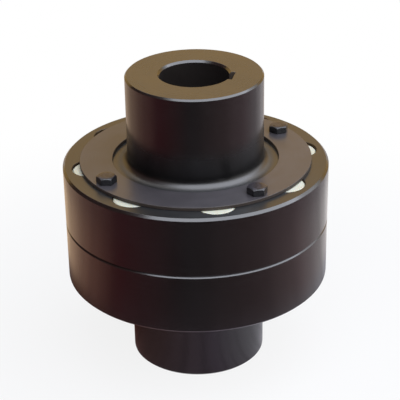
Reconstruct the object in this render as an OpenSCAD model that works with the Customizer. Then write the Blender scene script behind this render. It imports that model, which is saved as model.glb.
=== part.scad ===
// Elastic pin coupling: two flanged half-couplings joined by nylon pins.
// A thin ring plate on each flange keeps the pins in, and hexagon bolts hold it.
// The coupling stands on its lower hub, on the plane z = 0, with its axis along Z.
// The upper half rests on the lower one, and both keyways face +X.

/* [Half-couplings] */
// Diameter of the flanges
flange_d = 195; // [180:1:240]
// Thickness of each flange
flange_t = 45; // [38:1:60]
// Diameter of the hubs
hub_d = 100; // [80:1:110]
// Length of each half along the axis
half_l = 112; // [90:1:142]
// Radius of the fillet where a hub meets its flange
root_fillet = 6; // [2:0.5:8]
// Chamfer round the outer face of each flange
rim_chamfer = 1.75; // [0.5:0.25:4]
// Chamfer round each joint face
joint_chamfer = 1; // [0.3:0.1:2]
// Chamfer round the free end of each hub
hub_chamfer = 1.25; // [0.5:0.25:4]

/* [Bores and keyways] */
// Diameter of the shaft bores
bore_d = 50; // [38:1:63]
// Chamfer at both ends of each bore
bore_chamfer = 1.5; // [0.5:0.25:3]
// Width of the keyways
keyway_w = 14; // [10:1:18]
// Depth of the keyways beyond the bore wall
keyway_depth = 3.8; // [2.8:0.1:4.4]

/* [Pins] */
// Number of pins
pin_count = 8; // [6:1:12]
// Diameter of the pin holes
pin_hole_d = 28; // [20:0.5:32]
// Wall left between a pin hole and the rim of the flange
pin_rim_wall = 6.5; // [4:0.5:10]
// Chamfer at the mouth of each pin hole
pin_hole_chamfer = 0.4; // [0.2:0.1:1]
// Radial clearance of a pin in its hole
pin_clearance = 0.15; // [0.05:0.05:0.5]
// Room that the pins have along the axis between the two plates
pin_end_play = 1.5; // [0.5:0.5:4]
// Heights at which friction holds the pins above the lower plate, taken in turn
pin_lifts = [0, 0, 0, 0, 0.3, 1, 1.2, 1]; // [0:0.1:1.5]
// Chamfer at the ends of each pin
pin_chamfer = 1; // [0.5:0.25:2]
// Drop of the crowned half of a pin, from its middle to its ends
pin_crown = 0.4; // [0.2:0.1:1]

/* [Retaining plates] */
// Thickness of the ring plates
plate_t = 2.5; // [1.5:0.5:5]
// Width of flange face left outside a plate
plate_margin = 12.5; // [9:0.5:16]
// Gap between a plate and the root fillet of the hub
plate_gap = 5; // [2:0.5:8]
// Chamfer along the edges of a plate
plate_chamfer = 0.2; // [0.1:0.1:0.8]

/* [Plate bolts] */
// Nominal diameter of the bolts
bolt_d = 8; // [6:1:10]
// Length of the bolts under the head
bolt_l = 16; // [12:1:25]
// Width of the heads across flats
bolt_head_af = 13; // [10:1:16]
// Height of the heads
bolt_head_h = 5.3; // [4:0.1:7]
// Height of the round washer face under each head
washer_face_h = 0.4; // [0.2:0.1:0.8]
// Width that the washer face leaves inside the flats
washer_face_inset = 0.7; // [0.3:0.1:1.5]
// Distance from the outer edge of the plate to the bolt axes
bolt_edge = 9; // [8:0.5:11]
// Number of pins from one bolt to the next
pins_per_bolt = 2; // [1:1:4]
// Angle from midway between two pins to the nearest bolt
bolt_shift = 1.2; // [-4:0.1:4]
// Radial clearance of the bolts in the plate
bolt_plate_clearance = 0.5; // [0.2:0.1:1]
// Radial clearance of the bolts in the tapped holes
thread_clearance = 0.1; // [0.05:0.05:0.3]
// Spare depth of the tapped holes past the bolt points
thread_runout = 4; // [2:1:8]
// Chamfer at the bolt points
bolt_point_chamfer = 1; // [0.5:0.25:1.5]
// Angles at which the heads came tight, taken in turn
bolt_turns = [31, 50, 12, 21]; // [0:1:59]

/* [Hidden] */
$fn = 128;

// Overshoot of cuts that pass through a face
cut = 1;
// Steps along the crowned half of a pin
crown_steps = 8;
// Half of the drill point angle
drill_half_angle = 59;
// Angle of the chamfer on top of a bolt head
head_chamfer_angle = 30;
// Share of the width across flats that the flat top of a head keeps
head_flat_share = 0.9;

flange_r = flange_d / 2;
hub_r = hub_d / 2;
bore_r = bore_d / 2;
pin_hole_r = pin_hole_d / 2;
pin_r = pin_hole_r - pin_clearance;
pin_l = 2 * flange_t - pin_end_play;
pin_circle_r = flange_r - pin_rim_wall - pin_hole_r;
pin_pitch = 360 / pin_count;
plate_outer_r = flange_r - plate_margin;
plate_inner_r = hub_r + root_fillet + plate_gap;
bolt_circle_r = plate_outer_r - bolt_edge;
bolt_count = floor(pin_count / pins_per_bolt);
bolt_pitch = pins_per_bolt * pin_pitch;
first_bolt = pin_pitch + bolt_shift;
tapped_r = bolt_d / 2 + thread_clearance;
tapped_depth = bolt_l - plate_t + thread_runout;
head_corner_r = bolt_head_af / 2 / cos(30);
head_flat_r = head_flat_share * bolt_head_af / 2;

// Heights of the faces above the ground
joint_z = half_l;
lower_face_z = joint_z - flange_t;

steel = [0.11, 0.10, 0.09];
plate_steel = [0.15, 0.14, 0.12];
bolt_steel = [0.06, 0.06, 0.06];
nylon = [0.93, 0.92, 0.85];

// Pin axes lie half a pitch either side of the keyway
module at_pin(i) {
    rotate((i - 0.5) * pin_pitch)
        translate([pin_circle_r, 0, 0])
            children();
}

// Bolt axes lie about midway between two pins
module at_bolt(i) {
    rotate(first_bolt + i * bolt_pitch)
        translate([bolt_circle_r, 0, 0])
            children();
}

// Turns a child made on the upper half over on to the lower half
module on_lower_half() {
    translate([0, 0, joint_z])
        mirror([0, 0, 1])
            children();
}

// Lifts a child made on the joint face to its place on the upper half
module on_upper_half() {
    translate([0, 0, joint_z])
        children();
}

// Half section of a half-coupling without its bore, joint face at y = 0
module half_section() {
    difference() {
        polygon([
            [0, 0],
            [flange_r - joint_chamfer, 0],
            [flange_r, joint_chamfer],
            [flange_r, flange_t - rim_chamfer],
            [flange_r - rim_chamfer, flange_t],
            [hub_r + root_fillet, flange_t],
            [hub_r + root_fillet, flange_t + root_fillet],
            [hub_r, flange_t + root_fillet],
            [hub_r, half_l - hub_chamfer],
            [hub_r - hub_chamfer, half_l],
            [0, half_l]
        ]);
        translate([hub_r + root_fillet, flange_t + root_fillet])
            circle(r = root_fillet);
    }
}

// Hole of radius r from z = 0 up to z = l, chamfered at both mouths
module chamfered_hole(r, l, c) {
    translate([0, 0, -cut])
        cylinder(r = r, h = l + 2 * cut);
    translate([0, 0, -cut])
        cylinder(r1 = r + c + cut, r2 = r, h = c + cut);
    translate([0, 0, l - c])
        cylinder(r1 = r, r2 = r + c + cut, h = c + cut);
}

// Straight keyway from the axis to its floor, through the whole half
module keyway() {
    translate([0, -keyway_w / 2, -cut])
        cube([bore_r + keyway_depth, keyway_w, half_l + 2 * cut]);
}

// Blind tapped hole down from the outer face of the flange, with its drill point
module tapped_hole() {
    translate([0, 0, flange_t - tapped_depth]) {
        cylinder(r = tapped_r, h = tapped_depth + cut);
        translate([0, 0, -tapped_r / tan(drill_half_angle)])
            cylinder(r1 = 0, r2 = tapped_r, h = tapped_r / tan(drill_half_angle));
    }
}

// One half-coupling, joint face at z = 0 and hub up
module half_coupling() {
    difference() {
        rotate_extrude()
            half_section();
        chamfered_hole(bore_r, half_l, bore_chamfer);
        keyway();
        for (i = [1:pin_count])
            at_pin(i)
                chamfered_hole(pin_hole_r, flange_t, pin_hole_chamfer);
        for (i = [0:bolt_count - 1])
            at_bolt(i)
                tapped_hole();
    }
}

// One ring plate on the outer face of its flange
module retaining_plate() {
    translate([0, 0, flange_t])
        difference() {
            rotate_extrude()
                polygon([
                    [plate_inner_r + plate_chamfer, 0],
                    [plate_outer_r - plate_chamfer, 0],
                    [plate_outer_r, plate_chamfer],
                    [plate_outer_r, plate_t - plate_chamfer],
                    [plate_outer_r - plate_chamfer, plate_t],
                    [plate_inner_r + plate_chamfer, plate_t],
                    [plate_inner_r, plate_t - plate_chamfer],
                    [plate_inner_r, plate_chamfer]
                ]);
            for (i = [0:bolt_count - 1])
                at_bolt(i)
                    translate([0, 0, -cut])
                        cylinder(r = bolt_d / 2 + bolt_plate_clearance, h = plate_t + 2 * cut);
        }
}

// Radius of the crowned half at a share s of its length
function crown_r(s) = pin_r - pin_crown * pow(2 * s - 1, 2);

// One pin in its holes: its lower half is crowned, its upper half is straight
module pin(i) {
    color(nylon)
        at_pin(i)
            translate([0, 0, lower_face_z + pin_lifts[(i - 1) % len(pin_lifts)]])
                rotate_extrude()
                    polygon(concat(
                        [[0, 0], [crown_r(0) - pin_chamfer, 0]],
                        [for (k = [0:crown_steps])
                            [crown_r(k / crown_steps), pin_chamfer + (flange_t - pin_chamfer) * k / crown_steps]],
                        [
                            [pin_r, flange_t + pin_crown],
                            [pin_r, pin_l - pin_chamfer],
                            [pin_r - pin_chamfer, pin_l],
                            [0, pin_l]
                        ]
                    ));
}

// Hexagon head with its top turned to a chamfer, underside of the washer face at z = 0
module bolt_head(turn) {
    corner_drop = (head_corner_r - head_flat_r) * tan(head_chamfer_angle);
    cylinder(r = bolt_head_af / 2 - washer_face_inset, h = 2 * washer_face_h);
    intersection() {
        translate([0, 0, washer_face_h])
            rotate(turn)
                cylinder(r = head_corner_r, h = bolt_head_h - washer_face_h, $fn = 6);
        rotate_extrude()
            polygon([
                [0, 0],
                [head_corner_r + cut, 0],
                [head_corner_r + cut, bolt_head_h - corner_drop - cut * tan(head_chamfer_angle)],
                [head_flat_r, bolt_head_h],
                [0, bolt_head_h]
            ]);
    }
}

// One bolt, seated on the plane z = 0 with its shank downwards
module bolt(turn) {
    bolt_head(turn);
    translate([0, 0, bolt_point_chamfer - bolt_l])
        cylinder(d = bolt_d, h = bolt_l - bolt_point_chamfer + washer_face_h);
    translate([0, 0, -bolt_l])
        cylinder(d1 = bolt_d - 2 * bolt_point_chamfer, d2 = bolt_d, h = bolt_point_chamfer);
}

// The bolts of one plate, with the list of turns started at a chosen place
module plate_bolts(first_turn) {
    for (i = [0:bolt_count - 1])
        at_bolt(i)
            translate([0, 0, flange_t + plate_t])
                bolt(bolt_turns[(i + first_turn) % len(bolt_turns)] - first_bolt - i * bolt_pitch);
}

module lower_half_coupling() {
    color(steel)
        on_lower_half()
            half_coupling();
}

module upper_half_coupling() {
    color(steel)
        on_upper_half()
            half_coupling();
}

module lower_retaining_plate() {
    color(plate_steel)
        on_lower_half()
            retaining_plate();
}

module upper_retaining_plate() {
    color(plate_steel)
        on_upper_half()
            retaining_plate();
}

module lower_plate_bolts() {
    color(bolt_steel)
        on_lower_half()
            plate_bolts(1);
}

module upper_plate_bolts() {
    color(bolt_steel)
        on_upper_half()
            plate_bolts(0);
}

lower_half_coupling();
upper_half_coupling();
lower_retaining_plate();
upper_retaining_plate();
for (i = [1:pin_count])
    pin(i);
lower_plate_bolts();
upper_plate_bolts();
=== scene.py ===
"""Studio scene of an elastic pin coupling: finishes, bolts, floor, light and camera around its solids.

The solids stay where they are. Each sub-assembly is a class with its sizes, and main() builds them in
order. Sizes of the coupling are in millimetres and places on the stage in metres, both in the part's own
frame: the axis of the coupling is Z, its keyways face +X and it stands on z = 0.
"""

import logging
import math
from dataclasses import dataclass
from enum import Enum
from typing import Any, Optional, Union

import bpy
from mathutils import Matrix, Vector


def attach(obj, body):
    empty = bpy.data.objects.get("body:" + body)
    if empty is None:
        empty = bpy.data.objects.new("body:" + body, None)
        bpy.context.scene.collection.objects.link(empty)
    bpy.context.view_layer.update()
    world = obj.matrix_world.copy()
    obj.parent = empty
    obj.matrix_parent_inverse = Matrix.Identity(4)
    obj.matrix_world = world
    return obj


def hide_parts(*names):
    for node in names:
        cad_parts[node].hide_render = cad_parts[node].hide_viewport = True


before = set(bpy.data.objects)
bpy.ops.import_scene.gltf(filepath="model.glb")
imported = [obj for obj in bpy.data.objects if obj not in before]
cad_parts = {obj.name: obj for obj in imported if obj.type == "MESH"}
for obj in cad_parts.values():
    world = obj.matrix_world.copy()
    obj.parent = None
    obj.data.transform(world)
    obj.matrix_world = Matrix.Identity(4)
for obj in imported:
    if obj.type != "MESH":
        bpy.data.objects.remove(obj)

LOG = logging.getLogger("coupling")
BODY = "root"
MM = 0.001
MICRON = 1e-6
IMAGE_PX = 400
PHOTO_AZIMUTH_DEG = 12.5
JOINT_Z = 112.0
FLANGE_T = 45.0
PIN_COUNT = 8
PIN_CIRCLE_R = 77.0

Number = Union[int, float]
Colour = tuple[float, float, float]
Point = tuple[float, float, float]
Range = tuple[float, float]
Shares = tuple[float, ...]
Stops = tuple[tuple[float, Colour], ...]
Spans = tuple[Range, ...]

WHITE: Colour = (1.0, 1.0, 1.0)


class Side(Enum):
    """The two ends of the coupling, with the direction in which their hubs point."""

    UPPER = 1
    LOWER = -1

    def node(self, piece: str) -> str:
        """Name of this end's node of a piece."""
        return f"{self.name.lower()}_{piece}"


class Marks(Enum):
    """Mean width of the marks that a tool leaves, in millimetres."""

    FINE = 0.35
    NYLON = 0.5
    BROACHED = 0.6
    COARSE = 2.2


class Value:
    """A number that varies over a surface: a wrapped output socket with Python's operators."""

    def __init__(self, graph: "Graph", socket: bpy.types.NodeSocket) -> None:
        """Wrap a socket.

        Args:
            graph: The node tree that the socket belongs to.
            socket: The output socket that holds the number.
        """
        self.graph = graph
        self.socket = socket

    def _math(self, operation: str, *terms: Any) -> "Value":
        """Add one Math node.

        Args:
            operation: Blender's name of the operation.
            *terms: The operands, as values or numbers.

        Returns:
            The node's result.
        """
        return self.graph.value("ShaderNodeMath", 0, {"operation": operation}, dict(enumerate(terms)))

    def __add__(self, other: Any) -> "Value":
        """Sum."""
        return self._math("ADD", self, other)

    __radd__ = __add__

    def __sub__(self, other: Any) -> "Value":
        """Difference."""
        return self._math("SUBTRACT", self, other)

    def __rsub__(self, other: Any) -> "Value":
        """Difference, reflected."""
        return self._math("SUBTRACT", other, self)

    def __mul__(self, other: Any) -> "Value":
        """Product."""
        return self._math("MULTIPLY", self, other)

    __rmul__ = __mul__

    def __truediv__(self, other: Any) -> "Value":
        """Quotient."""
        return self._math("DIVIDE", self, other)

    def __rtruediv__(self, other: Any) -> "Value":
        """Quotient, reflected."""
        return self._math("DIVIDE", other, self)

    def __abs__(self) -> "Value":
        """Size without sign."""
        return self._math("ABSOLUTE", self)

    def root(self) -> "Value":
        """Square root."""
        return self._math("SQRT", self)

    def cosine(self) -> "Value":
        """Cosine of an angle in radians."""
        return self._math("COSINE", self)

    def bearing_from(self, other: "Value") -> "Value":
        """Angle of a point, with this as its ordinate and the other as its abscissa."""
        return self._math("ARCTAN2", self, other)

    def wrap(self, low: Number, high: Number) -> "Value":
        """Repeat within a range."""
        return self._math("WRAP", self, high, low)

    def either(self, other: Any) -> "Value":
        """The larger of two."""
        return self._math("MAXIMUM", self, other)

    def ease(self, low: Number, high: Number) -> "Value":
        """Rise smoothly from 0 at low to 1 at high.

        Args:
            low: Where the rise starts.
            high: Where it ends. It may lie below low, and the result then falls.

        Returns:
            The eased value, from 0 to 1.
        """
        return self.graph.value(
            "ShaderNodeMapRange",
            "Result",
            {"interpolation_type": "SMOOTHSTEP"},
            {"Value": self, "From Min": low, "From Max": high},
        )

    def up_to(self, limit: Number, full: Number = 0.05, none: Number = 0.20) -> "Value":
        """Mark what lies up to a limit, with a soft edge just beyond it.

        Args:
            limit: The limit.
            full: How far beyond it the result is still 1.
            none: How far beyond it the result has fallen to 0.

        Returns:
            1 up to the limit, 0 well beyond it.
        """
        return self.ease(limit + none, limit + full)


def mixture(shares: Shares, *layers: Value) -> Value:
    """Add several layers up, each by its share.

    Args:
        shares: The shares, in the order of the layers.
        *layers: The layers.

    Returns:
        Their sum.
    """
    first, *others = [layer * share for share, layer in zip(shares, layers)]
    return sum(others, first)


@dataclass(frozen=True)
class Place:
    """Where a shaded point lies on the coupling, in millimetres."""

    vector: bpy.types.NodeSocket
    x: Value
    y: Value
    z: Value
    radius: Value
    bearing: Value

    def from_ring(self, circle_r: float, pitch: float) -> Value:
        """Measure the distance from the nearest of several axes on a circle.

        Args:
            circle_r: Radius of the circle.
            pitch: Angle from one axis to the next, in radians. The first lies half of it from +X.

        Returns:
            The distance, in millimetres.
        """
        aside = self.bearing.wrap(0.0, pitch) - pitch / 2
        square = self.radius * self.radius + circle_r**2
        return (square - 2 * circle_r * self.radius * aside.cosine()).either(0.0).root()


class Graph:
    """A node tree of a material or world, with one way to add any node."""

    def __init__(self, tree: bpy.types.NodeTree) -> None:
        """Take over a tree and empty it.

        Args:
            tree: The node tree to fill.
        """
        self.tree = tree
        self.tree.nodes.clear()

    def node(
        self,
        kind: str,
        settings: Optional[dict[str, Any]] = None,
        inputs: Optional[dict[Union[str, int], Any]] = None,
    ) -> bpy.types.Node:
        """Add a node, set its settings first and then its sockets.

        Args:
            kind: Blender's type of node.
            settings: The node's own properties. The key "stops" fills a colour ramp.
            inputs: Socket names or places, with the values or links that they take.

        Returns:
            The new node.
        """
        made = self.tree.nodes.new(kind)
        for name, value in (settings or {}).items():
            if name == "stops":
                self._fill_ramp(made, value)
            else:
                setattr(made, name, value)
        for name, value in (inputs or {}).items():
            socket = made.inputs[name]
            if isinstance(value, Value):
                self.tree.links.new(value.socket, socket)
            elif isinstance(value, bpy.types.NodeSocket):
                self.tree.links.new(value, socket)
            elif isinstance(value, tuple) and len(value) == 3 and socket.type == "RGBA":
                socket.default_value = (*value, 1.0)
            else:
                socket.default_value = value
        return made

    @staticmethod
    def _fill_ramp(made: bpy.types.Node, stops: Stops) -> None:
        """Set the stops of a colour ramp.

        Args:
            made: The ramp node.
            stops: Places from 0 to 1, with their colours.
        """
        elements = made.color_ramp.elements
        while len(elements) < len(stops):
            elements.new(1.0)
        for element, (place, colour) in zip(elements, stops):
            element.position = place
            element.color = (*colour, 1.0)

    def value(
        self,
        kind: str,
        output: Union[str, int],
        settings: Optional[dict[str, Any]] = None,
        inputs: Optional[dict[Union[str, int], Any]] = None,
    ) -> Value:
        """Add a node and wrap one of its outputs as a number.

        Args:
            kind: Blender's type of node.
            output: Name or place of the output.
            settings: As in node().
            inputs: As in node().

        Returns:
            The wrapped output.
        """
        return Value(self, self.node(kind, settings, inputs).outputs[output])

    def parts(self, vector: bpy.types.NodeSocket) -> tuple[Value, Value, Value]:
        """Take a vector apart.

        Args:
            vector: The vector's socket.

        Returns:
            Its three numbers.
        """
        made = self.node("ShaderNodeSeparateXYZ", inputs={0: vector})
        return tuple(Value(self, made.outputs[i]) for i in range(3))

    def vector(self, x: Any, y: Any, z: Any) -> bpy.types.NodeSocket:
        """Put three numbers together."""
        return self.node("ShaderNodeCombineXYZ", inputs={0: x, 1: y, 2: z}).outputs[0]

    def place(self) -> Place:
        """Read where the shaded point lies.

        Returns:
            The point in several forms.
        """
        raw = self.node("ShaderNodeTexCoord").outputs["Object"]
        scaled = self.node("ShaderNodeVectorMath", {"operation": "SCALE"}, {0: raw, "Scale": 1 / MM})
        x, y, z = self.parts(scaled.outputs[0])
        return Place(scaled.outputs[0], x, y, z, (x * x + y * y).root(), y.bearing_from(x))

    def levelness(self) -> Value:
        """How level a face lies: 1 on a top or underside, 0 on an upright wall."""
        return abs(self.parts(self.node("ShaderNodeNewGeometry").outputs["Normal"])[2])

    def noise(self, place: bpy.types.NodeSocket, size: float, detail: float = 3.0) -> Value:
        """Cloudy noise from 0 to 1.

        Args:
            place: Where it is read, in millimetres.
            size: Width of its blotches, in millimetres.
            detail: How many finer layers it has.

        Returns:
            The noise.
        """
        inputs = {"Vector": place, "Scale": 1 / size, "Detail": detail}
        return self.value("ShaderNodeTexNoise", "Fac", None, inputs)

    def lines(self, across: Value, pitch: float, detail: float = 2.0) -> Value:
        """Uneven parallel lines, as a tool leaves them.

        Args:
            across: The distance across the lines, in millimetres.
            pitch: The mean width of a line, in millimetres.
            detail: How many finer layers they have.

        Returns:
            A number from 0 to 1.
        """
        inputs = {"W": across, "Scale": 1 / pitch, "Detail": detail}
        return self.value("ShaderNodeTexNoise", "Fac", {"noise_dimensions": "1D"}, inputs)

    def streaks(self, place: Place, across: Value, length: float, width: float) -> Value:
        """Short streaks that run round the axis, as wiping and handling leave them.

        Args:
            place: The shaded point.
            across: The distance across the streaks, in millimetres.
            length: Their length as an angle, in radians.
            width: Their width, in millimetres.

        Returns:
            A number from 0 to 1.
        """
        turn = 1 / length
        x, y = (axis / place.radius * turn for axis in (place.x, place.y))
        return self.noise(self.vector(x, y, across / width), 1.0, 2.0)

    def blend(self, share: Any, first: Any, second: Any) -> bpy.types.NodeSocket:
        """Mix two colours.

        Args:
            share: Share of the second colour.
            first: A colour or a colour socket.
            second: A colour or a colour socket.

        Returns:
            The mixed colour's socket.
        """
        inputs = {"Factor": share, "A": first, "B": second}
        return self.node("ShaderNodeMix", {"data_type": "RGBA"}, inputs).outputs["Result"]

    def rounded(self, radius: float) -> tuple[bpy.types.NodeSocket, Value]:
        """Round sharp edges in the shading.

        Args:
            radius: How far the rounding reaches, in millimetres.

        Returns:
            The rounded normal, and how much it differs from the plain one: 0 away from edges.
        """
        soft = self.node("ShaderNodeBevel", {"samples": 6}, {"Radius": radius * MM}).outputs["Normal"]
        plain = self.node("ShaderNodeNewGeometry").outputs["Normal"]
        dot = {"operation": "DOT_PRODUCT"}
        return soft, 1 - self.value("ShaderNodeVectorMath", "Value", dot, {0: soft, 1: plain})

    def bump(self, height: Value, depth: float, normal: bpy.types.NodeSocket) -> bpy.types.NodeSocket:
        """Bend a normal by a height.

        Args:
            height: The height, from 0 to 1.
            depth: What a height of 1 stands for, in metres.
            normal: The normal to bend.

        Returns:
            The bent normal's socket.
        """
        inputs = {"Height": height, "Strength": 1.0, "Distance": depth, "Normal": normal}
        return self.node("ShaderNodeBump", inputs=inputs).outputs["Normal"]

    def principled(self, **inputs: Any) -> bpy.types.Node:
        """Add the surface shader, with underscores for the spaces in its socket names."""
        named = {name.replace("_", " "): value for name, value in inputs.items()}
        return self.node("ShaderNodeBsdfPrincipled", inputs=named)

    def output(self, shader: bpy.types.Node, kind: str = "ShaderNodeOutputMaterial") -> None:
        """Lead a shader to the end of the tree."""
        self.node(kind, inputs={"Surface": shader.outputs[0]})


def new_material(name: str) -> tuple[bpy.types.Material, Graph]:
    """Make a material without nodes.

    Args:
        name: Its name.

    Returns:
        The material and its empty graph.
    """
    made = bpy.data.materials.new(name)
    made.use_nodes = True
    return made, Graph(made.node_tree)


def put(name: str, data: bpy.types.ID) -> bpy.types.Object:
    """Put a new object into the scene.

    Args:
        name: Its name.
        data: Its mesh, lamp or camera.

    Returns:
        The object.
    """
    made = bpy.data.objects.new(name, data)
    bpy.context.scene.collection.objects.link(made)
    return made


@dataclass(frozen=True)
class Finish:
    """A finish of one kind of surface.

    Sizes are in millimetres and depths in metres, and the length of a wiped streak is an angle in radians.
    A range says where a mask begins and ends, and a dull value adds to the roughness of its region.
    """

    name: str

    def material(self) -> bpy.types.Material:
        """Make the material of this finish.

        Returns:
            The new material.
        """
        made, graph = new_material(self.name)
        graph.output(self.shade(graph))
        return made

    def shade(self, graph: Graph) -> bpy.types.Node:
        """Fill the graph with this finish's nodes.

        Args:
            graph: The empty graph of the material.

        Returns:
            The node that gives the shader.
        """
        raise NotImplementedError


@dataclass(frozen=True)
class TurnedSteel(Finish):
    """Turned steel with oxide and oil, near black on walls; painted light pales level faces and broach-cut
    keyways.
    """

    bore_r: float
    keyway_half: float
    keyway_floor: float
    hub_r: float
    joint_z: float
    flange_t: float
    hole_r: float
    hole_circle_r: float
    hole_pitch: float
    wall_dark: Colour = (0.0065, 0.0052, 0.0052)
    wall_light: Colour = (0.0115, 0.0095, 0.0095)
    # Painted shade on the hub wall just above each flange.
    root_shade_colour: Colour = (0.0025, 0.0022, 0.0024)
    # Paler colours of level faces and flange rings: painted light.
    lit_face_dark: Colour = (0.021, 0.022, 0.023)
    lit_face_light: Colour = (0.032, 0.032, 0.032)
    face_tint: Colour = (0.038, 0.032, 0.026)
    lit_flange_dark: Colour = (0.013, 0.014, 0.015)
    lit_flange_light: Colour = (0.021, 0.022, 0.023)
    bore_wall: Colour = (0.017, 0.013, 0.011)
    hole_wall: Colour = (0.085, 0.054, 0.030)
    # Pale brown of the keyways: painted light.
    broached: Colour = (0.090, 0.066, 0.048)
    worn: Colour = (0.080, 0.075, 0.070)
    roughness: float = 0.20
    roughness_spread: float = 0.10
    dull_face: float = 0.08
    dull_flange: float = 0.04
    dull_keyway: float = 0.25
    dull_bore: float = 0.14
    dull_root: float = 0.16
    dull_hole: float = 0.35
    cloud_size: float = 28.0
    speck_size: float = 1.4
    wiped_length: float = 0.35
    wiped_width: float = 1.6
    tone_shares: Shares = (0.30, 0.35, 0.20, 0.15)
    tone_range: Range = (0.32, 0.70)
    patch_range: Range = (0.40, 0.65)
    level_range: Range = (0.80, 0.95)
    upright_range: Range = (0.50, 0.10)
    hole_range: Range = (0.90, 0.60)
    root_range: Range = (34.0, 8.0)
    root_shade_share: float = 0.8
    root_shade_metal: float = 0.45
    edge_r: float = 0.4
    edge_range: Range = (0.02, 0.30)
    wear_share: float = 0.2
    broach_shares: Range = (0.75, 0.25)
    mark_shares: Shares = (0.6, 0.4)
    mark_depth: float = 0.4 * MICRON
    ior: float = 1.85

    def shade(self, graph: Graph) -> bpy.types.Node:
        """Fill the graph: tool marks run round the axis on faces and walls alike.

        Args:
            graph: The empty graph of the material.

        Returns:
            The shader node.
        """
        place = graph.place()
        across = place.radius + place.z
        fine = graph.lines(across, Marks.FINE.value)
        coarse = graph.lines(across, Marks.COARSE.value)
        cloud = graph.noise(place.vector, self.cloud_size)
        speck = graph.noise(place.vector, self.speck_size, 4.0)
        wiped = graph.streaks(place, across, self.wiped_length, self.wiped_width)
        tone = mixture(self.tone_shares, coarse, cloud, wiped, speck).ease(*self.tone_range)
        level = graph.levelness().ease(*self.level_range)
        upright = graph.levelness().ease(*self.upright_range)
        keyway = self.keyway(place) * upright
        inside = place.radius.up_to(self.bore_r, 0.1, 0.5) * upright
        flange_face = place.radius.ease(self.hub_r + 2.0, self.hub_r + 6.0) * level
        hole = self.hole(place) * graph.levelness().ease(*self.hole_range)
        root = self.root(place)
        # Painted shade: the hub wall just above each flange is darkened and made partly metallic.
        root_shade = root * place.radius.up_to(self.hub_r, 0.2, 1.0)
        normal, edge = graph.rounded(self.edge_r)
        wear = edge.ease(*self.edge_range) * speck.ease(*self.patch_range)
        walls = graph.blend(tone, self.wall_dark, self.wall_light)
        walls = graph.blend(root_shade * self.root_shade_share, walls, self.root_shade_colour)
        # Painted light: level faces, the flange rings among them, get paler colours than the walls.
        faces = graph.blend(tone, self.lit_face_dark, self.lit_face_light)
        faces = graph.blend(cloud.ease(*self.patch_range), faces, self.face_tint)
        faces = graph.blend(flange_face, faces, graph.blend(tone, self.lit_flange_dark, self.lit_flange_light))
        colour = graph.blend(level, walls, faces)
        colour = graph.blend(inside, colour, self.bore_wall)
        colour = graph.blend(hole, colour, self.hole_wall)
        colour = graph.blend(wear * self.wear_share, colour, self.worn)
        # Keyways: real broach lines, with a pale brown that is painted light.
        even, lined = self.broach_shares
        broach = graph.lines(place.y, Marks.BROACHED.value)
        colour = graph.blend(keyway * (even + lined * broach), colour, self.broached)
        dull = (
            level * self.dull_face
            + flange_face * self.dull_flange
            + keyway * self.dull_keyway
            + inside * self.dull_bore
            + root * self.dull_root
            + hole * self.dull_hole
        )
        uneven = mixture((0.5, 0.5), cloud, wiped) - 0.5
        return graph.principled(
            Base_Color=colour,
            Roughness=self.roughness + self.roughness_spread * uneven + dull,
            Metallic=hole.either(root_shade * self.root_shade_metal),
            IOR=self.ior,
            Normal=graph.bump(mixture(self.mark_shares, fine, coarse), self.mark_depth, normal),
        )

    def root(self, place: Place) -> Value:
        """Find the roots of the hubs, with their fillets: rougher there, and painted shade on the wall just
        above.

        Args:
            place: The shaded point.

        Returns:
            1 at a root, 0 elsewhere.
        """
        along_hub = abs(place.z - self.joint_z) - self.flange_t
        return along_hub.ease(*self.root_range) * place.radius.up_to(self.hub_r, 5.0, 9.0)

    def hole(self, place: Place) -> Value:
        """Find the walls of the pin holes.

        Args:
            place: The shaded point.

        Returns:
            1 in a pin hole, 0 elsewhere.
        """
        return place.from_ring(self.hole_circle_r, self.hole_pitch).up_to(self.hole_r, 0.5, 0.8)

    def keyway(self, place: Place) -> Value:
        """Find the walls and floor of the keyways.

        Args:
            place: The shaded point.

        Returns:
            1 in a keyway, 0 elsewhere.
        """
        beyond_bore = place.radius.ease(self.bore_r + 0.05, self.bore_r + 0.30)
        within_width = abs(place.y).up_to(self.keyway_half)
        within_depth = place.x.up_to(self.keyway_floor)
        return beyond_bore * within_width * within_depth * place.x.ease(0.0, 1.0)


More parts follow.
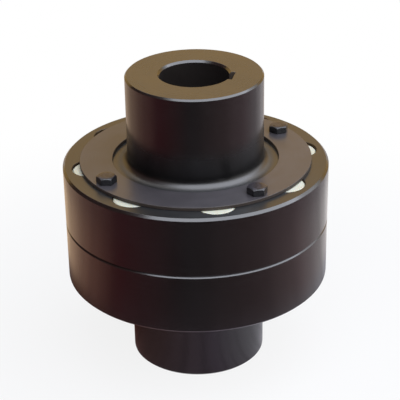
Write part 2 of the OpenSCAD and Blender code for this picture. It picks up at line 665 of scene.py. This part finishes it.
@dataclass(frozen=True)
class PlateSteel(Finish):
    """Cut sheet steel, blackened: paler and duller than the turned halves, with a dark matt cut edge."""

    dark: Colour = (0.065, 0.059, 0.063)
    light: Colour = (0.090, 0.082, 0.087)
    cut: Colour = (0.036, 0.023, 0.015)
    roughness: float = 0.30
    roughness_spread: float = 0.10
    dull_edge: float = 0.35
    cloud_size: float = 17.0
    speck_size: float = 0.9
    wiped_length: float = 0.5
    wiped_width: float = 3.0
    tone_shares: Shares = (0.25, 0.40, 0.20, 0.15)
    tone_range: Range = (0.32, 0.70)
    edge_range: Range = (0.92, 0.60)
    edge_r: float = 0.2
    mark_shares: Shares = (0.5, 0.5)
    mark_depth: float = 0.5 * MICRON
    ior: float = 1.7

    def shade(self, graph: Graph) -> bpy.types.Node:
        """Fill the graph: fine rings, a cloudy oxide and the cut edge.

        Args:
            graph: The empty graph of the material.

        Returns:
            The shader node.
        """
        place = graph.place()
        rings = graph.lines(place.radius + place.z, Marks.FINE.value)
        cloud = graph.noise(place.vector, self.cloud_size)
        speck = graph.noise(place.vector, self.speck_size, 4.0)
        wiped = graph.streaks(place, place.radius, self.wiped_length, self.wiped_width)
        tone = mixture(self.tone_shares, rings, cloud, wiped, speck).ease(*self.tone_range)
        edge = graph.levelness().ease(*self.edge_range)
        normal, _ = graph.rounded(self.edge_r)
        uneven = mixture((0.5, 0.5), cloud, wiped) - 0.5
        return graph.principled(
            Base_Color=graph.blend(edge, graph.blend(tone, self.dark, self.light), self.cut),
            Roughness=self.roughness + self.roughness_spread * uneven + edge * self.dull_edge,
            IOR=self.ior,
            Normal=graph.bump(mixture(self.mark_shares, speck, rings), self.mark_depth, normal),
        )


@dataclass(frozen=True)
class BoltSteel(Finish):
    """Forged bolt steel with a black oxide, worn a little at the edges."""

    dark: Colour = (0.008, 0.008, 0.009)
    light: Colour = (0.020, 0.020, 0.021)
    # Paler colours of the level tops: painted light.
    lit_top_dark: Colour = (0.010, 0.009, 0.014)
    lit_top_light: Colour = (0.050, 0.043, 0.054)
    worn: Colour = (0.170, 0.165, 0.165)
    roughness: float = 0.30
    roughness_spread: float = 0.15
    mottle_size: float = 1.8
    mottle_range: Range = (0.35, 0.70)
    dent_size: float = 0.8
    dent_range: Range = (0.30, 0.60)
    dent_depth: float = 6 * MICRON
    level_range: Range = (0.70, 0.95)
    edge_r: float = 0.3
    edge_range: Range = (0.02, 0.25)
    wear_share: float = 0.6
    ior: float = 1.6

    def shade(self, graph: Graph) -> bpy.types.Node:
        """Fill the graph: a fine mottle with shallow dents, and painted light that pales the tops.

        Args:
            graph: The empty graph of the material.

        Returns:
            The shader node.
        """
        place = graph.place()
        mottle = graph.noise(place.vector, self.mottle_size, 4.0)
        dents = graph.noise(place.vector, self.dent_size, 2.0)
        normal, edge = graph.rounded(self.edge_r)
        wear = edge.ease(*self.edge_range) * dents.ease(*self.dent_range)
        tone = mottle.ease(*self.mottle_range)
        # Painted light: level tops get a paler copy of the oxide than the sides.
        sides = graph.blend(tone, self.dark, self.light)
        lit_tops = graph.blend(tone, self.lit_top_dark, self.lit_top_light)
        oxide = graph.blend(graph.levelness().ease(*self.level_range), sides, lit_tops)
        return graph.principled(
            Base_Color=graph.blend(wear * self.wear_share, oxide, self.worn),
            Roughness=self.roughness + self.roughness_spread * (mottle - 0.5),
            IOR=self.ior,
            Normal=graph.bump(dents, self.dent_depth, normal),
        )


@dataclass(frozen=True)
class Nylon(Finish):
    """Turned cast nylon: cream white, slightly see-through at its skin."""

    circle_r: float
    pitch: float
    pale: Colour = (0.92, 0.91, 0.74)
    deep: Colour = (0.84, 0.82, 0.63)
    roughness: float = 0.42
    roughness_spread: float = 0.10
    dull_edge: float = 0.1
    cloud_size: float = 9.0
    tone_shares: Shares = (0.6, 0.4)
    tone_range: Range = (0.30, 0.70)
    edge_r: float = 0.3
    mark_depth: float = 3 * MICRON
    skin_share: float = 0.15
    skin_depths: Point = (4 * MM, 3 * MM, 2 * MM)
    ior: float = 1.53

    def shade(self, graph: Graph) -> bpy.types.Node:
        """Fill the graph: faint tool marks about each pin's own axis and a cloudy tone.

        Args:
            graph: The empty graph of the material.

        Returns:
            The shader node.
        """
        place = graph.place()
        own_r = place.from_ring(self.circle_r, self.pitch)
        cloud = graph.noise(place.vector, self.cloud_size)
        marks = graph.lines(own_r + place.z, Marks.NYLON.value)
        normal, edge = graph.rounded(self.edge_r)
        tone = mixture(self.tone_shares, cloud, marks).ease(*self.tone_range)
        return graph.principled(
            Base_Color=graph.blend(tone, self.pale, self.deep),
            Roughness=self.roughness + self.roughness_spread * (cloud - 0.5) + self.dull_edge * edge,
            IOR=self.ior,
            Subsurface_Weight=self.skin_share,
            Subsurface_Radius=self.skin_depths,
            Normal=graph.bump(marks, self.mark_depth, normal),
        )


@dataclass
class SubAssembly:
    """A group of like nodes that share one finish."""

    def nodes(self) -> list[str]:
        """Names of the nodes in this group."""
        raise NotImplementedError

    def finish(self) -> Finish:
        """The finish of this group."""
        raise NotImplementedError

    def dress(self) -> bpy.types.Material:
        """Give every node of the group its finish.

        Returns:
            The material that they share.
        """
        material = self.finish().material()
        for node in self.nodes():
            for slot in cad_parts[node].material_slots:
                slot.material = material
            LOG.info("dressed %s with %s", node, material.name)
        return material


@dataclass
class HalfCouplings(SubAssembly):
    """The two turned halves."""

    joint_z: float = JOINT_Z
    flange_t: float = FLANGE_T
    hub_d: float = 100.0
    bore_d: float = 50.0
    keyway_w: float = 14.0
    keyway_depth: float = 3.8
    hole_d: float = 28.0
    hole_circle_r: float = PIN_CIRCLE_R
    hole_count: int = PIN_COUNT

    def nodes(self) -> list[str]:
        """Names of the two halves."""
        return [side.node("half_coupling") for side in Side]

    def finish(self) -> Finish:
        """Blackened steel that knows where bores, keyways, hub roots and pin holes lie."""
        bore_r = self.bore_d / 2
        return TurnedSteel(
            name="blackened_turned_steel",
            bore_r=bore_r,
            keyway_half=self.keyway_w / 2,
            keyway_floor=bore_r + self.keyway_depth,
            hub_r=self.hub_d / 2,
            joint_z=self.joint_z,
            flange_t=self.flange_t,
            hole_r=self.hole_d / 2,
            hole_circle_r=self.hole_circle_r,
            hole_pitch=math.tau / self.hole_count,
        )


@dataclass
class RetainingPlates(SubAssembly):
    """The two ring plates that keep the pins in."""

    def nodes(self) -> list[str]:
        """Names of the two plates."""
        return [side.node("retaining_plate") for side in Side]

    def finish(self) -> Finish:
        """Blackened sheet steel."""
        return PlateSteel("blackened_plate_steel")


@dataclass
class Pins(SubAssembly):
    """The nylon pins that carry the torque."""

    count: int = PIN_COUNT
    circle_r: float = PIN_CIRCLE_R

    def nodes(self) -> list[str]:
        """Names of the pins."""
        return [f"pin_{i + 1}" for i in range(self.count)]

    def finish(self) -> Finish:
        """Nylon that knows where the pin axes lie."""
        return Nylon("cream_nylon", self.circle_r, math.tau / self.count)


@dataclass
class PlateBolts(SubAssembly):
    """The hexagon bolts of both plates, rebuilt with rounded corners and real threads."""

    joint_z: float = JOINT_Z
    flange_t: float = FLANGE_T
    plate_t: float = 2.5
    circle_r: float = 76.0
    first_deg: float = 46.2
    turns_deg: tuple[float, ...] = (31.0, 50.0, 12.0, 21.0)
    across_flats: float = 13.0
    head_h: float = 5.3
    flat_share: float = 0.90
    top_slope_deg: float = 30.0
    corner_r: float = 0.45
    break_edge: float = 0.22
    washer_h: float = 0.4
    washer_inset: float = 0.7
    shank_d: float = 8.0
    length: float = 16.0
    point_chamfer: float = 1.0
    pitch: float = 1.25
    thread_depth: float = 0.70
    flank_slope: float = 2.6
    root_width: float = 0.15
    neck: float = 1.2
    sharp_deg: float = 28.0
    arc_steps: int = 4
    flat_steps: int = 6
    steps_per_turn: int = 8

    def nodes(self) -> list[str]:
        """Names of the two groups of bolts."""
        return [side.node("plate_bolts") for side in Side]

    def finish(self) -> Finish:
        """Black bolt steel."""
        return BoltSteel("black_bolt_steel")

    def build(self) -> None:
        """Put a finer bolt in the place of each plain one."""
        material = self.dress()
        mesh = self.mesh()
        mesh.materials.append(material)
        for side in Side:
            for i in range(len(self.turns_deg)):
                self.bolt(side, i, mesh)

    def bolt(self, side: Side, i: int, mesh: bpy.types.Mesh) -> None:
        """Seat one bolt.

        Args:
            side: The end of the coupling.
            i: Its place on the bolt circle.
            mesh: The mesh that all bolts share, with its seat on z = 0.
        """
        shift = 0 if side is Side.UPPER else 1
        turn = math.radians(self.turns_deg[(i + shift) % len(self.turns_deg)])
        round_axis = math.radians(self.first_deg) + math.tau * i / len(self.turns_deg)
        seat = Vector((
            self.circle_r * math.cos(round_axis),
            self.circle_r * math.sin(round_axis),
            self.joint_z + side.value * (self.flange_t + self.plate_t),
        ))
        place = Matrix.Translation(seat * MM) @ Matrix.Rotation(turn, 4, "Z")
        if side is Side.LOWER:
            place = place @ Matrix.Rotation(math.pi, 4, "X")
        node = side.node("plate_bolts")
        copy = mesh.copy()
        copy.transform(place)
        made = put(side.node(f"plate_bolt_{i + 1}"), copy)
        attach(made, BODY)
        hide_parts(node)
        LOG.info("built %s", made.name)

    def mesh(self) -> bpy.types.Mesh:
        """Model one bolt, head up, with its seat on z = 0.

        Returns:
            The mesh, in metres.
        """
        outline = self.hexagon()
        angles = [math.atan2(y, x) for x, y in outline]
        rows = self.shank_rows(angles) + self.head_rows(outline)
        count = len(outline)
        points = [point for row in rows for point in row]
        faces = [
            (start + k, start + (k + 1) % count, start + count + (k + 1) % count, start + count + k)
            for start in range(0, len(points) - count, count)
            for k in range(count)
        ]
        faces.append(tuple(reversed(range(count))))
        faces.append(tuple(range(len(points) - count, len(points))))
        made = bpy.data.meshes.new("plate_bolt")
        made.from_pydata([tuple(MM * v for v in point) for point in points], [], faces)
        made.polygons.foreach_set("use_smooth", [True] * len(made.polygons))
        made.set_sharp_from_angle(angle=math.radians(self.sharp_deg))
        made.validate()
        return made

    def hexagon(self) -> list[tuple[float, float]]:
        """Draw the head's outline, with a corner on +X.

        Returns:
            Points anticlockwise, closer together at the rounded corners.
        """
        inner = self.across_flats / 2
        centre_r = (inner - self.corner_r) / math.cos(math.pi / 6)
        points = []
        for k in range(6):
            corner = k * math.pi / 3
            centre = Vector((math.cos(corner), math.sin(corner))) * centre_r
            arc = [corner + math.pi / 6 * (2 * s / self.arc_steps - 1) for s in range(self.arc_steps + 1)]
            points += [centre + self.corner_r * Vector((math.cos(a), math.sin(a))) for a in arc]
            following = corner + math.pi / 3
            start = points[-1]
            end = Vector((math.cos(following), math.sin(following))) * centre_r
            end = end + self.corner_r * Vector((math.cos(arc[-1]), math.sin(arc[-1])))
            points += [start.lerp(end, s / self.flat_steps) for s in range(1, self.flat_steps)]
        return [(p.x, p.y) for p in points]

    def thread_r(self, angle: float, z: float) -> float:
        """Find the radius of the threaded shank.

        Args:
            angle: Bearing about the bolt's axis, in radians.
            z: Height, from minus the length up to 0.

        Returns:
            The radius, in millimetres.
        """
        share = (z / self.pitch - angle / math.tau) % 1.0
        crest = min(1.0, max(0.0, self.flank_slope * abs(share - 0.5) - self.root_width))
        outer = self.shank_d / 2
        cut = self.thread_depth * (1.0 - crest)
        if z > -self.neck:
            cut *= max(0.0, -z / self.neck * 2.0 - 1.0)
        point = outer - self.point_chamfer + (z + self.length)
        return min(outer - cut, point)

    def shank_rows(self, angles: list[float]) -> list[list[Point]]:
        """Model the shank from its point up to the washer face.

        Args:
            angles: Bearings of the points in each row.

        Returns:
            Rows of points.
        """
        count = round(self.length / self.pitch * self.steps_per_turn)
        heights = [-self.length + self.length * k / count for k in range(count + 1)]
        return [
            [(self.thread_r(a, z) * math.cos(a), self.thread_r(a, z) * math.sin(a), z) for a in angles]
            for z in heights
        ]

    def head_rows(self, outline: list[tuple[float, float]]) -> list[list[Point]]:
        """Model the washer face and the head.

        Args:
            outline: The head's outline.

        Returns:
            Rows of points, upwards and then in to the middle of the top.
        """
        slope = math.tan(math.radians(self.top_slope_deg))
        flat_r = self.flat_share * self.across_flats / 2
        washer_r = self.across_flats / 2 - self.washer_inset
        e = self.break_edge

        def ring(radius: float, z: float) -> list[Point]:
            """A row on a circle."""
            return [(radius * x / math.hypot(x, y), radius * y / math.hypot(x, y), z) for x, y in outline]

        def wall(inset: float, rise: float) -> list[Point]:
            """A row that follows the upper edge of the flats."""
            row = []
            for x, y in outline:
                r = math.hypot(x, y)
                top = self.head_h - max(0.0, r - flat_r) * slope
                row.append((x * (r - inset) / r, y * (r - inset) / r, top + rise))
            return row

        return [
            ring(washer_r, 0.0),
            ring(washer_r, self.washer_h),
            [(x, y, self.washer_h) for x, y in outline],
            wall(0.0, -e),
            wall(e, e * slope),
            ring(flat_r + e, self.head_h - e * slope),
            ring(flat_r - e, self.head_h),
            ring(flat_r / 2, self.head_h),
        ]


def swung(first: Vector, second: Vector, angle: float) -> tuple[Vector, Vector]:
    """Turn two unit vectors in the plane that they span.

    Args:
        first: The vector that turns towards the second.
        second: A vector square to it.
        angle: How far they turn, in radians.

    Returns:
        Both vectors, turned.
    """
    c, s = math.cos(angle), math.sin(angle)
    return first * c + second * s, second * c - first * s


@dataclass
class PhotoCamera:
    """The camera of the photograph, placed about a point on the axis."""

    aim_height: float = 0.1110
    distance: float = 1.0466
    azimuth_deg: float = PHOTO_AZIMUTH_DEG
    elevation_deg: float = 27.30
    pan_rad: float = 0.0026
    tilt_rad: float = 0.0100
    roll_deg: float = -1.0
    focal_px: float = 1396.1
    sensor_mm: float = 36.0
    clip: Range = (0.05, 50.0)

    def build(self) -> None:
        """Make the camera and use it for the scene."""
        rise = math.radians(self.elevation_deg)
        offset = Vector((0.0, -math.cos(rise), math.sin(rise)))
        ahead, right = -offset, Vector((1.0, 0.0, 0.0))
        up = right.cross(ahead)
        ahead, up = swung(ahead, up, self.tilt_rad)
        ahead, right = swung(ahead, right, self.pan_rad)
        right, up = swung(right, up, math.radians(self.roll_deg))
        turn = Matrix((right, up, -ahead)).transposed().to_4x4()
        place = Vector((0.0, 0.0, self.aim_height)) + offset * self.distance
        data = bpy.data.cameras.new("photo_camera")
        data.sensor_width = self.sensor_mm
        data.lens = self.focal_px * self.sensor_mm / IMAGE_PX
        data.clip_start, data.clip_end = self.clip
        camera = put("photo_camera", data)
        around = Matrix.Rotation(math.radians(self.azimuth_deg), 4, "Z")
        camera.matrix_world = around @ (Matrix.Translation(place) @ turn)
        bpy.context.scene.camera = camera
        LOG.info("camera at %s", tuple(round(x, 3) for x in camera.matrix_world.translation))


def white_to_lens(graph: Graph) -> Value:
    """Say which rays see the plain background: those of the camera, of gloss and of glass.

    Args:
        graph: The graph to add the nodes to.

    Returns:
        1 for those rays, 0 for the others.
    """
    path = graph.node("ShaderNodeLightPath")
    names = ("Is Camera Ray", "Is Glossy Ray", "Is Transmission Ray")
    camera, gloss, glass = (Value(graph, path.outputs[name]) for name in names)
    return camera.either(gloss).either(glass)


@dataclass(frozen=True)
class Softbox:
    """A soft lamp. Its places are given with the camera on -Y, and a glow of 1 is white."""

    name: str
    place: Point
    aim: Point
    size: Range
    glow: float
    colour: Colour = WHITE


@dataclass(frozen=True)
class Card:
    """An upright card that only gloss sees. The ends of its foot are given with the camera on -Y."""

    name: str
    start: Range
    end: Range
    heights: Range
    colour: Colour

    def corners(self) -> list[Point]:
        """The four corners, in order."""
        low, high = self.heights
        return [(*self.start, low), (*self.end, low), (*self.end, high), (*self.start, high)]


@dataclass
class Studio:
    """Plain pale floor, white surroundings and soft light, turned to face the camera."""

    azimuth_deg: float = PHOTO_AZIMUTH_DEG
    floor_rings: Spans = ((0.0, 0.0264), (0.0488, 6.0))
    floor_colour: Colour = (0.92, 0.92, 0.92)
    floor_glow: float = 0.86
    shadow_reach: Range = (0.20, 0.45)
    fill: float = 0.04
    cloth_far: Stops = (
        (0.00, (1.10, 0.95, 0.80)),
        (0.10, (1.10, 0.80, 0.52)),
        (0.25, (0.60, 0.29, 0.21)),
        (0.33, (0.20, 0.035, 0.040)),
        (0.48, (0.06, 0.05, 0.05)),
        (0.63, (0.19, 0.12, 0.12)),
        (0.73, (0.50, 0.36, 0.37)),
        (0.81, (0.74, 0.67, 0.68)),
        (0.89, (1.20, 1.15, 1.15)),
        (1.00, (1.10, 0.95, 0.80)),
    )
    cloth_near: Stops = (
        (0.00, (0.30, 0.27, 0.28)),
        (0.20, (0.09, 0.03, 0.02)),
        (0.36, (0.22, 0.13, 0.13)),
        (0.55, (0.31, 0.25, 0.32)),
        (0.70, (0.57, 0.56, 0.62)),
        (0.85, (0.57, 0.56, 0.62)),
        (1.00, (0.30, 0.27, 0.28)),
    )
    cloth_rings: Spans = ((0.0505, 2.0),)
    cloth_change: Range = (0.17, 0.22)
    cloth_fade: Range = (0.31, 0.37)
    fade_turn: Range = (0.10, 0.25)
    fade_share: float = 0.38
    fade_colour: Colour = (0.10, 0.05, 0.09)
    cloth_height: float = 0.0003
    ring_steps: int = 96
    fold_deg: float = 12.0
    fold_range: Range = (0.42, 0.68)
    fold_share: float = 0.22
    fold_colour: Colour = (0.03, 0.018, 0.020)
    softboxes: tuple[Softbox, ...] = (
        Softbox("overhead", (0.45, -0.45, 1.40), (0.0, 0.0, 0.15), (2.9, 1.85), 2.45, (0.82, 0.87, 1.0)),
        Softbox("below", (0.0, 0.0, -1.20), (0.0, 0.0, 0.0), (1.6, 1.6), 0.8),
    )
    cards: tuple[Card, ...] = (
        Card("front_wall", (-1.9, -2.0), (1.3, -2.0), (0.0, 1.2), (0.04, 0.035, 0.04)),
        Card("left_wall", (-1.9, 1.6), (-1.9, -2.0), (0.0, 3.2), (0.10, 0.05, 0.04)),
        Card("right_window", (1.9, 0.1), (1.9, 1.1), (0.8, 2.0), (1.75, 1.75, 1.85)),
        Card("back_wall", (-1.9, 1.6), (2.1, 1.6), (0.1, 1.6), (0.88, 0.55, 0.19)),
    )

    def turned(self) -> Matrix:
        """Turn from the camera's bearing to the part's frame."""
        return Matrix.Rotation(math.radians(self.azimuth_deg), 4, "Z")

    def world(self) -> None:
        """White behind the object, and a low even fill on it."""
        world = bpy.data.worlds.new("studio_world")
        bpy.context.scene.world = world
        world.use_nodes = True
        graph = Graph(world.node_tree)
        strength = self.fill + (1.0 - self.fill) * white_to_lens(graph)
        shader = graph.node("ShaderNodeBackground", inputs={"Color": WHITE, "Strength": strength})
        graph.output(shader, "ShaderNodeOutputWorld")

    def floor(self) -> None:
        """A wide pale floor that keeps a soft shadow near the object and is clear from below."""
        graph = self.surface(self.rings("floor", self.floor_rings, 0.0), "floor_paper")
        far = (graph.place().radius * MM).ease(*self.shadow_reach)
        matt = graph.node("ShaderNodeBsdfDiffuse", inputs={"Color": self.floor_colour})
        glow = graph.node("ShaderNodeEmission", inputs={"Color": WHITE, "Strength": 1.0})
        share = white_to_lens(graph) * (self.floor_glow + (1.0 - self.floor_glow) * far)
        paper = graph.node("ShaderNodeMixShader", inputs={0: share, 1: matt.outputs[0], 2: glow.outputs[0]})
        below = graph.node("ShaderNodeNewGeometry").outputs["Backfacing"]
        clear = graph.node("ShaderNodeBsdfTransparent")
        seen = graph.node("ShaderNodeMixShader", inputs={0: below, 1: paper.outputs[0], 2: clear.outputs[0]})
        graph.output(seen)

    def rings(self, name: str, spans: Spans, height: float) -> bpy.types.Object:
        """Lay flat rings about the axis as one sheet.

        Args:
            name: Name of the sheet.
            spans: Inner and outer radius of each ring.
            height: Height above the ground.

        Returns:
            The sheet.
        """
        count = self.ring_steps
        angles = [math.tau * k / count for k in range(count)]
        points, faces = [], []
        for span in spans:
            inner = len(points)
            outer = inner + count
            points += [(r * math.cos(a), r * math.sin(a), height) for r in span for a in angles]
            steps = [(k, (k + 1) % count) for k in range(count)]
            faces += [(inner + k, outer + k, outer + n, inner + n) for k, n in steps]
        return self.sheet(name, points, faces)

    def sheet(self, name: str, points: list[Point], faces: list[tuple[int, ...]]) -> bpy.types.Object:
        """Put a flat sheet on the stage, turned to the camera.

        Args:
            name: Name of the sheet.
            points: Its points, with the camera on -Y.
            faces: Its faces.

        Returns:
            The sheet.
        """
        mesh = bpy.data.meshes.new(name)
        mesh.from_pydata(points, [], faces)
        made = put(name, mesh)
        made.matrix_world = self.turned()
        LOG.info("staged %s", name)
        return made

    @staticmethod
    def surface(sheet: bpy.types.Object, name: str) -> Graph:
        """Give a sheet a new material.

        Args:
            sheet: The sheet.
            name: Name of the material.

        Returns:
            The material's empty graph.
        """
        made, graph = new_material(name)
        sheet.data.materials.append(made)
        return graph

    @staticmethod
    def only_gloss(sheet: bpy.types.Object, graph: Graph, colour: Any) -> None:
        """Let a sheet shine, and show it to the object's gloss alone.

        Args:
            sheet: The sheet.
            graph: The graph of its material.
            colour: What it shines with, as a colour or a colour socket.
        """
        graph.output(graph.node("ShaderNodeEmission", inputs={"Color": colour, "Strength": 1.0}))
        sheet.visible_camera = False
        sheet.visible_diffuse = False
        sheet.visible_shadow = False

    def softbox(self, box: Softbox) -> None:
        """Hang one soft lamp.

        Args:
            box: The lamp's sizes and place.
        """
        data = bpy.data.lights.new(box.name, "AREA")
        data.shape = "RECTANGLE"
        data.size, data.size_y = box.size
        data.energy = box.glow * math.pi * box.size[0] * box.size[1]
        data.color = box.colour
        toward = Vector(box.aim) - Vector(box.place)
        turn = toward.to_track_quat("-Z", "Y").to_matrix().to_4x4()
        put(box.name, data).matrix_world = self.turned() @ Matrix.Translation(box.place) @ turn
        LOG.info("lamp %s of %.1f W", box.name, data.energy)

    def card(self, card: Card) -> None:
        """Stand one card.

        Args:
            card: The card's sizes and place.
        """
        sheet = self.sheet(card.name, card.corners(), [(0, 1, 2, 3)])
        self.only_gloss(sheet, self.surface(sheet, card.name), card.colour)

    def cloth(self) -> None:
        """Lay a round cloth that only gloss sees: warm on the left, dark in front and pale on the right."""
        cloth = self.rings("cloth", self.cloth_rings, self.cloth_height)
        graph = self.surface(cloth, "cloth")
        place = graph.place()
        turn = place.x.bearing_from(0 - place.y) / math.tau + 0.5
        far, near = (
            graph.node("ShaderNodeValToRGB", {"stops": stops}, {"Fac": turn}).outputs["Color"]
            for stops in (self.cloth_far, self.cloth_near)
        )
        out = place.radius * MM
        colour = graph.blend(out.ease(*self.cloth_change), near, far)
        faded = out.ease(*self.cloth_fade) * abs(turn - 0.5).ease(*self.fade_turn)
        colour = graph.blend(faded * self.fade_share, colour, self.fade_colour)
        folds = graph.lines(turn * 360.0, self.fold_deg).ease(*self.fold_range)
        colour = graph.blend(folds * self.fold_share, colour, self.fold_colour)
        self.only_gloss(cloth, graph, colour)

    def build(self) -> None:
        """Set up the surroundings."""
        self.world()
        self.floor()
        self.cloth()
        for box in self.softboxes:
            self.softbox(box)
        for card in self.cards:
            self.card(card)


def main() -> None:
    """Build the scene in order."""
    logging.basicConfig(level=logging.INFO, format="%(name)s: %(message)s")
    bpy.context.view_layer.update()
    bpy.context.scene.view_settings.view_transform = "Standard"
    PhotoCamera().build()
    Studio().build()
    HalfCouplings().dress()
    RetainingPlates().dress()
    Pins().dress()
    PlateBolts().build()


if __name__ == "__main__":
    main()
